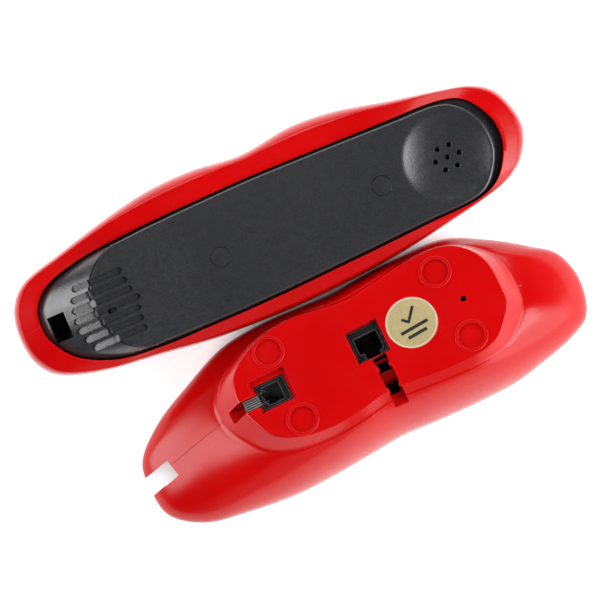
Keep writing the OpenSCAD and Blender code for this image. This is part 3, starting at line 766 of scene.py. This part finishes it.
def wall_fall(s, shoulder=0.07, fillet=0.30):
    """How far down the pedestal wall s is: straight, with a tight shoulder and a softer foot."""
    total = 1 - shoulder / 2 - fillet / 2
    if s < shoulder:
        return s * s / (2 * shoulder) / total
    if s < 1 - fillet:
        return (s - shoulder / 2) / total
    left = 1 - s
    return 1 - left * left / (2 * fillet) / total


def base_ring(p, b, drop, s):
    """A loop between the outlines of the platform, p, and the base, b.

    s runs from 0 at the platform, 1 at the pedestal's foot, 2 at the widest line, 3 at the floor.
    """
    q = inset(b, 3.0)
    d = b - p
    length = np.maximum(np.linalg.norm(d, axis=1), 0.01)
    end_share = (np.abs(d[:, 0]) / length) ** 2
    top = platform_height(p[:, 1], drop)
    foot = top - mix(BACK_WALL, END_WALL, end_share)
    wide = mix(WIDE_Z, WIDE_TIP_Z, (np.abs(b[:, 0]) / TIP_X) ** 4)
    t = s - math.floor(min(s, 2))
    wave, fall = math.sin(math.pi / 2 * t), math.cos(math.pi / 2 * t)
    if s < 1:
        side, z = mix(p, b, PEDESTAL_SPREAD * s), mix(top, foot, wall_fall(s))
    elif s < 2:
        side = mix(p, b, mix(PEDESTAL_SPREAD, 1.0, wave))
        z = mix(foot, wide, mix(1 - fall, wave, SLOPE_SHARE))
    else:
        side, z = mix(b, q, 1 - fall), wide * (1 - wave)
    return lift(side, z)


def base_mesh():
    """The shell without its openings: its outer skin from the top down, then its inner skin."""
    p, b = loop(PLATFORM_EDGE), loop(BASE_EDGE)
    rim = inset(p, 0.5)
    outer = [lift(rim, platform_height(rim[:, 1]))]
    outer += [base_ring(p, b, 0, s) for s in np.concatenate([
        (0, 0.02, 0.045, 0.07), np.linspace(0.07, 0.70, 7)[1:], np.linspace(0.70, 1, 9)[1:],
        np.linspace(1, 2, 26)[1:], np.linspace(2, 3, 12)[1:]])]
    pi, bi = inset(p, WALL), inset(b, WALL)
    inner = [base_ring(pi, bi, ROOF, s) for s in np.concatenate([
        np.linspace(3, 2, 6), np.linspace(2, 1, 9)[1:], np.linspace(1, 0, 6)[1:]])]
    return from_rings("base_shell_skin", outer + inner, in_base())


def base_additions():
    """Troughs below the cord channels, screw posts and foot rings."""
    trough = CHANNEL_WIDTH + 2 * TROUGH_WALL
    added = [block("t", (trough, 17.5, 2.0), TROUGH_LOW, on_platform(CHANNEL_X, 0.6)),
             block("t", (10.6, trough, 2.0), TROUGH_LOW, on_platform(-47.2, SIDE_CHANNEL_Y))]
    for spot, top in zip(POST_SPOTS, POST_TOPS):
        added.append(drum("t", 3.2, COVER_TOP, top, in_base(), sides=32, centre=spot))
    return added + [foot_ring(on_platform(*spot)) for spot in FOOT_SPOTS]


def base_cuts():
    """What the mould leaves open: jack wells, cord channels, the sound hole, the notch and screw holes."""
    cuts = [drum("c", 5.3, -0.55, 2, on_platform(*spot)) for spot in FOOT_SPOTS]
    cuts += [
        block("c", (15.6, 14.4, 9), -1.6, on_platform(-34.35, 15.0), round_z=0.5),
        block("c", (13.0, 11.2, 12), -10, on_platform(*LEFT_JACK), round_z=0.4),
        block("c", (14.2, 14.6, 9), -1.6, on_platform(*LINE_JACK), round_z=0.5),
        block("c", (13.6, 13.6, 12), -10, on_platform(*LINE_JACK), round_z=0.4),
        block("c", (CHANNEL_WIDTH, 22.8, 30), -CHANNEL_DEPTH, on_platform(CHANNEL_X, -1.6), round_z=0.3),
        block("c", (24, 5.4, 30), -CHANNEL_DEPTH, on_platform(-53, SIDE_CHANNEL_Y), round_z=0.3),
        block("c", (4.4, 4.2, 6), -10, on_platform(CHANNEL_X, 5.9), round_z=0.3),
        block("c", (4.6, 5.0, 6), -10, on_platform(CHANNEL_X, -3.1), round_z=0.3),
        drum("c", SOUND_HOLE_RADIUS, -9, 9, on_platform(*SOUND_HOLE), sides=32),
    ]
    corner = in_base() @ Matrix.Translation(Vector(NOTCH_AT) * MM)
    notch = corner @ Matrix.Rotation(NOTCH_TURN, 4, "Z")
    cuts.append(block("c", (30, NOTCH_WIDTH, 60), -1, notch, round_z=0.4, centre=(-15, 0)))
    for spot in POST_SPOTS:
        cuts.append(drum("c", SCREW_HOLE_RADIUS, 1, COVER_TOP + 9, in_base(), sides=24, centre=spot))
    return cuts


def make_base_shell():
    shell = base_mesh()
    combine(shell, base_additions(), "UNION")
    cuts, slits = base_cuts(), base_slits(shell)
    combine(shell, cuts, "DIFFERENCE")
    channel = on_platform(CHANNEL_X, 1.5)
    crossbar = block("t", (6.6, 3.4, 2.6), -CHANNEL_DEPTH - 0.6, channel, round_all=0.3)
    combine(shell, channel_teeth(channel, CHANNEL_WIDTH, (3.0, -6.4)) + [crossbar], "UNION")
    clean_edges(shell, 0.18)
    combine(shell, slits, "DIFFERENCE")
    finish(shell, "base_shell_skin", "base", ["base_shell"], "red_plastic")


def foot_ring(place):
    """A raised ring with a soft crown."""
    return lathe("t", [(0, -1.0), (6.6, -1.0), (6.6, 0.25), (6.45, 0.45), (6.15, 0.5), (5.75, 0.5),
                       (5.45, 0.45), (5.3, 0.2), (5.3, -0.3), (0, -0.3)], place)


def channel_teeth(place, width, spots):
    """Rounded teeth that pinch the cord from both sides of a channel."""
    return [drum("t", 0.95, -5.2, -0.35, place, 0.25, 24, (side * (width / 2 + 0.1), y))
            for y in spots for side in (-1, 1)]


def base_slits(shell):
    """The mould's parting line: beside the notch, from there to the channel, and up the right wall."""
    tree, place = tree_of(shell), in_base()
    return [
        surface_slit(tree, place, (-84.0, 5.6), (-55.5, 12.6), 0.22, 0.28),
        surface_slit(tree, place, (64.2, 10.6), (73.5, 8.8), 0.2, 0.22),
        surface_slit(tree, place, (-96.2, -2.8), (-90.5, -2.3), 0.2, 0.22),
    ]


# ---- handset shell
def handset_ring(o, b, crown, top, low, s):
    """A loop between the outlines of the opening, o, the handset, b, and the crown.

    s runs from 0 at the opening, 1 at the crease, 2 at the widest line, 3 at the crown.
    """
    d = b - o
    reach = np.minimum(CREASE_REACH, 0.72 * np.linalg.norm(d, axis=1, keepdims=True))
    c = o + unit(d) * reach
    t = s - math.floor(min(s, 2))
    wave, fall = math.sin(math.pi / 2 * t), max(0.0, math.cos(math.pi / 2 * t))
    if s < 1:
        side, z = mix(o, c, s), top - CREASE_DROP * s
    elif s < 2:
        side, z = mix(c, b, wave), mix(BULGE_Z, top - CREASE_DROP, fall)
    else:
        side, z = mix(crown, b, fall ** 0.85), mix(BULGE_Z, low, wave ** 0.85)
    return lift(side, z)


def handset_mesh():
    """The shell: its inner skin from the crown up, the opening's edge, then its outer skin."""
    o, b = loop(OPENING_EDGE), loop(HANDSET_EDGE)
    crown = np.column_stack([o[:, 0] * 0.8, (o[:, 1] + 3) * 0.4 - 1])
    bi = inset(b, WALL)
    inner = [handset_ring(o, bi, crown, RIM_Z - WALL, WALL, s)
             for s in np.concatenate([np.linspace(3, 2, 10), np.linspace(2, 1, 6)[1:], [0.5, 0]])]
    edge = [lift(inset(o, -0.02), RIM_Z - 0.6), lift(inset(o, -0.12), RIM_Z - 0.25)]
    outer = [handset_ring(o, b, crown, RIM_Z, 0.0, s)
             for s in np.concatenate([np.linspace(0.08, 1, 7), np.linspace(1, 2, 24)[1:],
                                      np.linspace(2, 3, 26)[1:]])]
    return from_rings("handset_shell_skin", inner + edge + outer, in_handset())


def make_handset_shell():
    shell, place = handset_mesh(), in_handset()
    combine(shell, [drum("t", 3.6, 1.2, 24, place, sides=32, centre=c) for c in SCREW_SPOTS], "UNION")
    cuts = [drum("c", SCREW_HOLE_RADIUS, 12, 25, place, sides=24, centre=c) for c in SCREW_SPOTS]
    tree = tree_of(shell)
    cuts += [surface_slit(tree, place, (99.6, -0.5), (109.0, -0.4), 0.2, 0.25),
             surface_slit(tree, place, (-99.1, -1.5), (-108.8, -2.4), 0.16, 0.16)]
    combine(shell, cuts, "DIFFERENCE")
    finish(shell, "handset_shell_skin", "handset", ["handset_shell"], "red_plastic")


# ---- handset inner cover
def pad_height(x):
    """The pad's height, rising past a soft bend to the microphone ridge."""
    slope = RIDGE_RISE / (RIDGE_START - RIDGE_END)
    run = np.asarray(RIDGE_START - x, float)
    soft = 5.0
    bend = np.where(run < -soft, 0.0, np.where(run > soft, run, (run + soft) ** 2 / (4 * soft)))
    return PAD_Z + slope * np.minimum(bend, RIDGE_START - RIDGE_END)


def cover_mesh():
    """The black cover without its holes: pad, wall or sloping ridge, flange and underside."""
    p, o = loop(PAD_EDGE), inset(loop(OPENING_EDGE), 0.35)
    n = len(p)
    share = np.array([ease((-52 - x) / 10) for x in p[:, 0]])[:, None]
    top = pad_height(p[:, 0])[:, None]
    d = o - p
    reach = np.minimum(0.9, 0.5 * np.linalg.norm(d, axis=1, keepdims=True))

    def side_ring(inward, drop):
        return np.column_stack([inset(p, inward), top[:, 0] - drop])

    def slope_ring(t):
        fall = top - RIDGE_LIP - (top - RIDGE_LIP - FLANGE_Z) * (0.15 * t + 0.85 * t ** 1.12)
        return np.column_stack([mix(p, o, t), fall[:, 0]])

    wall_foot = np.column_stack([p + unit(d) * reach * 0.8, np.full(n, FLANGE_Z + 0.5)])
    corner = np.column_stack([p + unit(d) * reach, np.full(n, FLANGE_Z)])
    side = [side_ring(1.1, 0), side_ring(0.75, 0.04), side_ring(0.4, 0.2), side_ring(0.12, 0.5),
            side_ring(0, 0.95), mix(side_ring(0, 0.95), wall_foot, 0.5), wall_foot, corner,
            mix(corner, lift(o, FLANGE_Z), 0.3), mix(corner, lift(o, FLANGE_Z), 0.7)]
    ridge = [side_ring(0.4, 0), side_ring(0.2, 0.03), side_ring(0.06, 0.12), side_ring(0, 0.3),
             side_ring(-0.04, RIDGE_LIP + 0.55), side_ring(-0.4, RIDGE_LIP + 0.55)]
    ridge += [slope_ring(t) for t in (0.05, 0.35, 0.68, 0.93)]
    rings = [mix(a, b, share) for a, b in zip(side, ridge)]
    rings += [lift(inset(o, 0.12), FLANGE_Z - 0.1), lift(o, FLANGE_Z - 0.4), lift(o, COVER_LOW_Z)]
    under = inset(p, COVER_SKIN)
    rings.append(lift(mix(under, inset(o, 1.6), share), COVER_LOW_Z))
    mid = mix(under, mix(under, o, 0.5), share)
    slope_low = (pad_height(under[:, 0])[:, None] + FLANGE_Z) / 2 - COVER_SKIN
    low = mix(np.full((n, 1), COVER_LOW_Z + 1), slope_low, share)
    rings.append(np.column_stack([mid, low]))
    ceiling = inset(p, COVER_SKIN + 0.2)
    rings.append(np.column_stack([ceiling, pad_height(ceiling[:, 0]) - COVER_SKIN]))
    return from_rings("handset_cover_skin", rings, in_handset(), strips=True)


def groove_cutter(y, left, right, tree):
    """One long rounded groove of the grille, sunk an even depth below the surface."""
    depth, half, place = 0.9, 1.35, in_handset()
    bm = bmesh.new()
    rows = []
    for x in np.linspace(left, right, 31):
        gap = min(x - left, right - x, half)
        reach = max(math.sqrt(max(half * half - (half - gap) ** 2, 0.0)), 0.25)
        level = height_under(tree, place, x, y) - depth
        rows.append([bm.verts.new(Vector((x, y + side * reach, level + up)) * MM)
                     for side, up in ((-1, 0), (1, 0), (1, 4), (-1, 4))])
    return strip_mesh(bm, rows, place)


def ear_dish_cutter():
    """A shallow bowl whose lip is softly rounded."""
    ball = (DISH_RADIUS ** 2 + DISH_DEPTH ** 2) / (2 * DISH_DEPTH)
    low, steps = PAD_Z - DISH_DEPTH, 25
    profile = [(0.0, low)]
    for i in range(1, steps):
        r = DISH_RADIUS * i / steps
        profile.append((r, low + ball - math.sqrt(ball * ball - r * r)))
    for past, rise in ((-0.25, -0.16), (0.2, -0.05), (0.8, 0.02), (1.0, 8)):
        profile.append((DISH_RADIUS + past, PAD_Z + rise))
    return lathe("c", profile + [(0, PAD_Z + 8)], in_handset(), 128, EAR)


def ear_hole_cutter(x, y):
    """A sound hole with a small countersink."""
    r = math.hypot(x - EAR[0], y - EAR[1])
    face = PAD_Z - DISH_DEPTH + r * r / 96
    profile = [(0, 20), (1.0, 20), (1.0, face - 0.25), (1.25, face), (1.6, face + 0.4), (0, face + 0.4)]
    return lathe("c", profile, in_handset(), 32, (x, y))


def make_handset_cover():
    cover, place = cover_mesh(), in_handset()
    tree = tree_of(cover)
    added = [drum("t", 18.4, PAD_Z - 6.1, PAD_Z - 0.6, place, sides=96, centre=EAR)]
    added += [drum("t", 5.3, 24, PAD_Z - 0.6, place, sides=48, centre=c) for c in SCREW_SPOTS]
    combine(cover, added, "UNION")
    cuts = [ear_dish_cutter(), ear_hole_cutter(*EAR)]
    for i in range(6):
        angle = math.tau * i / 6
        cuts.append(ear_hole_cutter(EAR[0] + 5.1 * math.cos(angle), EAR[1] + 5.1 * math.sin(angle)))
    for spot in SCREW_SPOTS:
        cuts.append(drum("c", 4.12, 25.6, 60, place, sides=64, centre=spot))
        cuts.append(drum("c", 1.6, 0, 60, place, sides=24, centre=spot))
    cuts.append(block("c", (3.3, 2.0, 40), 20, place, round_z=0.6, centre=MIC))
    cuts.append(block("c", (7.3, 10.8, 30), 20, place, round_z=0.3, centre=HANDSET_SOCKET))
    cuts += [groove_cutter(GROOVE_Y + (k - 3) * GROOVE_PITCH, left, right, tree)
             for k, (left, right) in enumerate(GROOVES)]
    combine(cover, cuts, "DIFFERENCE")
    finish(cover, "handset_cover_skin", "handset", ["handset_inner_cover"], "black_cover", 0.09, 28, 50)


def make_plugs():
    plugs = join([drum("p", 4.0, PAD_Z - 3, PAD_Z - 0.12, in_handset(), edge=0.22, centre=c)
                  for c in SCREW_SPOTS])
    finish(plugs, "handset_plug_skins", "handset", ["handset_screw_plugs"], "black_cover")


# ---- jacks
def modular_jack(name, place, body, size, socket, steps, latch, top, height, node):
    """A modular jack: a hollow box whose mouth narrows in steps towards its latch."""
    low = top - height
    floor = low + JACK_FLOOR
    jack = block(name, (*size, height), low, place, round_z=0.35)
    cuts = [block("c", (*socket, height), floor, place, round_z=0.15)]
    for x, y, w, h in steps + [latch]:
        cuts.append(block("c", (w, h, height), floor, place, round_z=0.1, centre=(x, y)))
    gate = (0, latch[1] - size[1] / 2)
    cuts.append(block("c", (latch[2], size[1], 5), top - 4.2, place, round_z=0.1, centre=gate))
    combine(jack, cuts, "DIFFERENCE")
    finish(jack, name, body, [node], "jack_black", bevel=0.12)


def jack_wires(name, place, body, node, reach, low, top):
    """Four sprung contact wires that lean into the socket from its wall."""
    bends = ((1, low + 0.3), (1, top - 2.2), (0.97, top - 1.5), (0.86, top - 1.2), (0.70, top - 2.0),
             (0.18, low + 3.2), (0.10, low + 2.4))
    wires = []
    for k in range(4):
        x = (k - 1.5) * CONTACT_PITCH
        wires.append(wire(name, [(x, reach * share, z) for share, z in bends], 0.2, place))
    finish(join(wires), name, body, [node], "contact_gold", angle=60)


def make_jacks():
    line = on_platform(*LINE_JACK)
    steps = [(0.9, -3.2, 8.2, 2.2), (0.6, -4.0, 7.2, 2.2)]
    modular_jack("line_jack_body", line, "base", (12.6, 12.6), (9.8, 7.0), steps, (0, -4.2, 6.2, 2.4),
                 -2.0, 11.6, "line_jack")
    jack_wires("line_jack_wires", line, "base", "line_jack_contacts", 3.1, -12.0, -3.2)
    left = on_platform(*LEFT_JACK)
    turned = left @ Matrix.Rotation(math.radians(-90), 4, "Z")
    modular_jack("cord_jack_body", turned, "base", (10.2, 12.0), (7.8, 7.0), [(0, -3.6, 5.6, 1.2)],
                 (0, -3.6, 4.0, 2.4), -2.0, 11.6, "handset_cord_jack")
    jack_wires("cord_jack_wires", turned, "base", "handset_cord_jack_contacts", 3.1, -12.0, -3.2)
    socket = in_handset() @ Matrix.Translation(Vector((*HANDSET_SOCKET, 0)) * MM)
    modular_jack("handset_jack_body", socket, "handset", (9.1, 12.6), (6.7, 7.8), [(0, 4.0, 4.9, 1.4)],
                 (0, 4.4, 3.4, 1.6), COVER_LOW_Z - 1, 12, "handset_jack")
    jack_wires("handset_jack_wires", socket, "handset", "handset_jack_contacts", -3.4, 17.6, 26.8)
    make_comb(left)


def make_comb(place):
    """The ribbed strain clip between the cord jack and its channel."""
    middle, pitch = -0.3, 0.96
    bed = block("p", (6.4, 4.6, 1.0), -4.2, place, round_all=0.2, centre=(-9.3, middle))
    parts = [paint(bed, "jack_black")]
    for k in range(5):
        spot = (-9.5, middle + (k - 2) * pitch)
        rib = block("p", (6.8, 0.42, 1.5), -3.4, place, round_all=0.14, centre=spot)
        parts.append(paint(rib, "clip_grey"))
    finish(join(parts), "cord_clip", "base", [], "jack_black", angle=40)


# ---- keypad and hook
def rounded_key(name, spot, size, low, flange, edge):
    """A cap whose face looks down, with the flange that holds it behind the cover."""
    cap = block(name, (*size, FLANGE_REST + 0.5 - low), low, in_base(), round_all=edge, centre=spot)
    rim = block(name, (size[0] + flange[0], size[1] + flange[1], 1.0), FLANGE_REST, in_base(),
                round_all=0.15, centre=spot)
    return [paint(cap, "key_plastic"), paint(rim, "key_plastic")]


def make_keys():
    """Twelve keys in four rows of three, and two beside the middle rows, with raised markings."""
    enlarge = 1.25
    for i, (name, strokes) in enumerate(KEY_MARKS.items()):
        column, row = i % 3 - 1, i // 3 - 1.5
        x, y = KEYPAD_AT[0] + column * KEY_PITCH[0], KEYPAD_AT[1] + row * KEY_PITCH[1]
        if i > 11:
            x, y = SIDE_KEY_X, KEYPAD_AT[1] + (i - 12.5) * KEY_PITCH[1]
        parts = rounded_key(name, (x, y), KEY_SIZE, KEY_LOW, KEY_FLANGE, 0.8)
        for points in strokes:
            turned = [(x + enlarge * u, y - enlarge * v) for u, v in points]
            stroke = ink_stroke(turned, 0.55, in_base(), KEY_LOW - 0.04, KEY_LOW + 0.1)
            parts.append(paint(stroke, "ink"))
        finish(join(parts), name + "_cap", name, [name], "key_plastic", angle=40)


def make_plunger():
    """The button that the handset presses, with the stem that reaches the switch."""
    parts = rounded_key("p", PLUNGER_AT, (8.0, 14.0), PLUNGER_LOW, (2.0, 2.4), 1.6)
    stem = drum("p", 2.0, FLANGE_REST, PLUNGER_HIGH, in_base(), edge=0.3, centre=PLUNGER_AT)
    button = join(parts + [paint(stem, "key_plastic")])
    finish(button, "hook_button", "hook_plunger", ["hook_plunger"], "key_plastic", angle=40)


def make_hook_spring():
    """A coil between the button's flange and the bracket, which shortens as the button is pressed."""
    low, high, turns, steps, radius, wire_radius = 12.95, 20.15, 5, 24, 3, 0.35
    points = []
    for i in range(turns * steps + 1):
        angle = math.tau * i / steps
        points.append((PLUNGER_AT[0] + radius * math.cos(angle), PLUNGER_AT[1] + radius * math.sin(angle),
                       mix(low, high, i / (turns * steps))))
    spring = wire("hook_spring_coil", points, wire_radius, in_base())
    finish(spring, "hook_spring_coil", "base", ["hook_spring"], "screw_steel", angle=60)
    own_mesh(spring)


def make_cover_screws():
    """Domed cross-head screws, their heads looking down."""
    profile = [(0, 8.0), (1.2, 8.05), (2.1, 8.25), (2.55, 8.6), (2.7, 9.0), (2.7, 9.9), (2.6, 10), (1.4, 10),
               (1.4, 18.6), (0.6, 19.2), (0, 19.2)]
    screws = []
    for spot in POST_SPOTS:
        screw = lathe("s", profile, in_base(), 48, spot)
        cuts = [block("c", size, 7.6, in_base(), centre=spot) for size in ((0.7, 3.2, 1.4), (3.2, 0.7, 1.4))]
        combine(screw, cuts, "DIFFERENCE")
        screws.append(screw)
    finish(join(screws), "cover_screw_set", "base", ["base_cover_screws"], "screw_steel", 0.06, 32)


# ---- sticker
def make_sticker():
    """A round inspection sticker with a plain rim, a tick and two bars."""
    place = on_platform(*STICKER_AT)
    disc = drum("s", 10.5, 0.0, 0.13, place, edge=0.04, sides=96)
    paint(disc, "sticker_gold")
    profile = [(9.75, 0.125), (10.3, 0.125), (10.3, 0.16), (9.75, 0.16), (9.75, 0.125)]
    rim = paint(lathe("s", profile, place, 96), "sticker_rim")
    spin = place @ Matrix.Rotation(math.radians(4), 4, "Z")
    strokes = (([(-3.0, 3.0), (-0.9, 0.8), (3.6, 5.8)], 1.15),
               ([(-6.0, -2.2), (6.0, -2.2)], 1.35),
               ([(-4.2, -5.1), (4.2, -5.1)], 1.35))
    marks = [paint(ink_stroke(points, width, spin), "ink") for points, width in strokes]
    sticker = join([disc, rim] + marks)
    finish(sticker, "inspection_sticker_skin", "base", ["inspection_sticker"], "sticker_gold", angle=30)


def ink_stroke(points, width, place, low=0.12, high=0.165):
    """A flat printed stroke with mitred corners."""
    p = [Vector(q) for q in points]
    left, right = [], []
    for i, q in enumerate(p):
        a = (q - p[i - 1]).normalized() if i else (p[1] - q).normalized()
        b = (p[i + 1] - q).normalized() if i < len(p) - 1 else a
        along = (a + b).normalized()
        side = Vector((-along.y, along.x)) * width / 2 / max(0.3, along.dot(a))
        left.append(q + side)
        right.append(q - side)
    outline = left + right[::-1]
    bm = bmesh.new()
    lows = [bm.verts.new(Vector((q.x, q.y, low)) * MM) for q in outline]
    highs = [bm.verts.new(Vector((q.x, q.y, high)) * MM) for q in outline]
    n, k = len(outline), len(left)
    for i in range(n):
        bm.faces.new((lows[i], lows[(i + 1) % n], highs[(i + 1) % n], highs[i]))
    for i in range(k - 1):
        for row in (lows, highs):
            bm.faces.new((row[i], row[i + 1], row[n - 2 - i], row[n - 1 - i]))
    return from_bmesh("s", bm, place)


# ---- build
right, up = make_camera()
make_materials()
make_studio(right, up)
make_floor()
for row in frame["record"]["subparts"]:
    paint(frame["nodes"][row["node"]], row["material_slot"])
make_base_shell()
make_handset_shell()
make_handset_cover()
make_plugs()
make_jacks()
make_keys()
make_plunger()
make_hook_spring()
make_cover_screws()
make_sticker()
